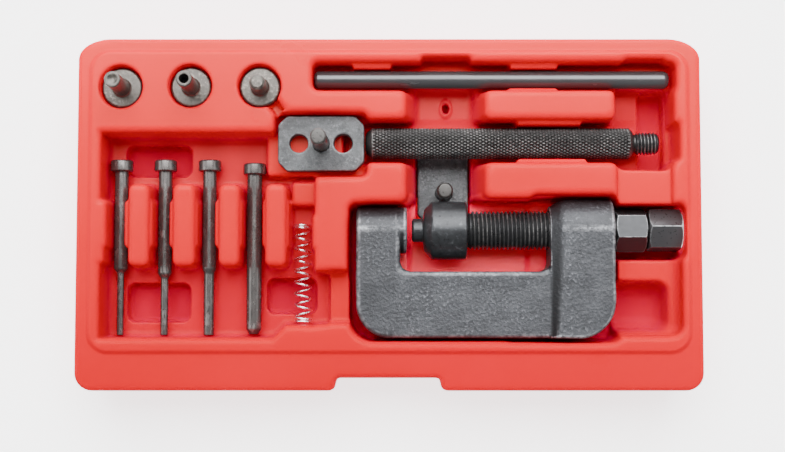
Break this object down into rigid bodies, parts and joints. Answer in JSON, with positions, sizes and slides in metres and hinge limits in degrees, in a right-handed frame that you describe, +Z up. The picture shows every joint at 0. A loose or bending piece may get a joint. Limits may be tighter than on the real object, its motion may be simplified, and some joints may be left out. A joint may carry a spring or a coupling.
{
  "type": "chain breaking and riveting tool kit",
  "caption": "Motorcycle and bicycle chain breaking, pressing and riveting kit: C-frame screw press, handle, lever, anvils, breaker pins, plates and spring in a moulded red tray.",
  "frame": {"origin": "middle of the tray's underside", "axes": "+X along the tray towards the screw heads, +Y towards the tray's hinge edge, -Y towards the latch notch, +Z up out of the tray"},
  "size_m": [0.223, 0.126, 0.0454],
  "materials": {
    "red_moulding": "satin blow-moulded polyethylene, soft rounded edges",
    "forged_black": "forged steel, black oxide, lightly textured, edges worn bright",
    "black_oxide": "turned steel, black oxide, oiled",
    "black_oxide_bolt": "threaded steel, black oxide",
    "black_oxide_knurl": "diamond-knurled steel, black oxide",
    "grey_steel": "plate steel, mottled dark grey phosphate",
    "zinc_wire": "bright spring wire"
  },
  "bodies": {
    "tray": {"case_tray": "red_moulding", "anvil_plate": "grey_steel", "anvil_plate_pin": "black_oxide"},
    "press": {"press_frame": "forged_black"},
    "nose": {"thrust_nose": "black_oxide"},
    "pressure_screw": {"pressure_screw": "black_oxide_bolt"},
    "plunger": {"drive_plunger": "black_oxide"},
    "extraction_screw": {"extraction_screw": "black_oxide"},
    "handle": {"handle": "black_oxide_knurl"},
    "lever": {"lever": "black_oxide"},
    "press_plate": {"press_plate": "grey_steel", "press_plate_pin": "black_oxide"},
    "anvil_solid": {"anvil_solid": "black_oxide"},
    "anvil_hollow": {"anvil_hollow": "black_oxide"},
    "anvil_short": {"anvil_short": "black_oxide"},
    "breaker_pin_2_5": {"breaker_pin_2_5": "black_oxide"},
    "breaker_pin_2_8": {"breaker_pin_2_8": "black_oxide"},
    "breaker_pin_3_8": {"breaker_pin_3_8": "black_oxide"},
    "rivet_pin": {"rivet_pin": "black_oxide"},
    "return_spring": {"return_spring": "zinc_wire"}
  },
  "joints": [
    {"name": "press_lift", "type": "slide", "parent": "tray", "child": "press", "axis": [0, 0, 1], "range_m": [0, 0.06]},
    {"name": "nose_travel", "type": "slide", "parent": "press", "child": "nose", "axis": [1, 0, 0], "range_m": [-0.0005, 0.026]},
    {"name": "pressure_screw_turn", "type": "hinge", "parent": "nose", "child": "pressure_screw", "pos_m": [0.05, -0.0055, 0.0185], "axis": [1, 0, 0], "range_deg": [-121, 6241]},
    {"name": "plunger_travel", "type": "slide", "parent": "pressure_screw", "child": "plunger", "axis": [1, 0, 0], "range_m": [-0.0004, 0.034]},
    {"name": "extraction_screw_turn", "type": "hinge", "parent": "plunger", "child": "extraction_screw", "pos_m": [0.06, -0.0055, 0.0185], "axis": [1, 0, 0], "range_deg": [-116, 9793]},
    {"name": "handle_lift", "type": "slide", "parent": "tray", "child": "handle", "axis": [0, 0, 1], "range_m": [0, 0.05]},
    {"name": "lever_lift", "type": "slide", "parent": "tray", "child": "lever", "axis": [0, 0, 1], "range_m": [0, 0.05]},
    {"name": "press_plate_lift", "type": "slide", "parent": "tray", "child": "press_plate", "axis": [0, 0, 1], "range_m": [0, 0.05]},
    {"name": "anvil_solid_lift", "type": "slide", "parent": "tray", "child": "anvil_solid", "axis": [0, 0, 1], "range_m": [0, 0.04]},
    {"name": "anvil_hollow_lift", "type": "slide", "parent": "tray", "child": "anvil_hollow", "axis": [0, 0, 1], "range_m": [0, 0.04]},
    {"name": "anvil_short_lift", "type": "slide", "parent": "tray", "child": "anvil_short", "axis": [0, 0, 1], "range_m": [0, 0.04]},
    {"name": "breaker_pin_2_5_lift", "type": "slide", "parent": "tray", "child": "breaker_pin_2_5", "axis": [0, 0, 1], "range_m": [0, 0.05]},
    {"name": "breaker_pin_2_8_lift", "type": "slide", "parent": "tray", "child": "breaker_pin_2_8", "axis": [0, 0, 1], "range_m": [0, 0.05]},
    {"name": "breaker_pin_3_8_lift", "type": "slide", "parent": "tray", "child": "breaker_pin_3_8", "axis": [0, 0, 1], "range_m": [0, 0.05]},
    {"name": "rivet_pin_lift", "type": "slide", "parent": "tray", "child": "rivet_pin", "axis": [0, 0, 1], "range_m": [0, 0.05]},
    {"name": "return_spring_lift", "type": "slide", "parent": "tray", "child": "return_spring", "axis": [0, 0, 1], "range_m": [0, 0.05]}
  ],
  "couplings": [
    {"joint": "pressure_screw_turn", "follows": "nose_travel", "rad_per_m": 4188.8},
    {"joint": "extraction_screw_turn", "follows": "plunger_travel", "rad_per_m": 5026.5}
  ]
}
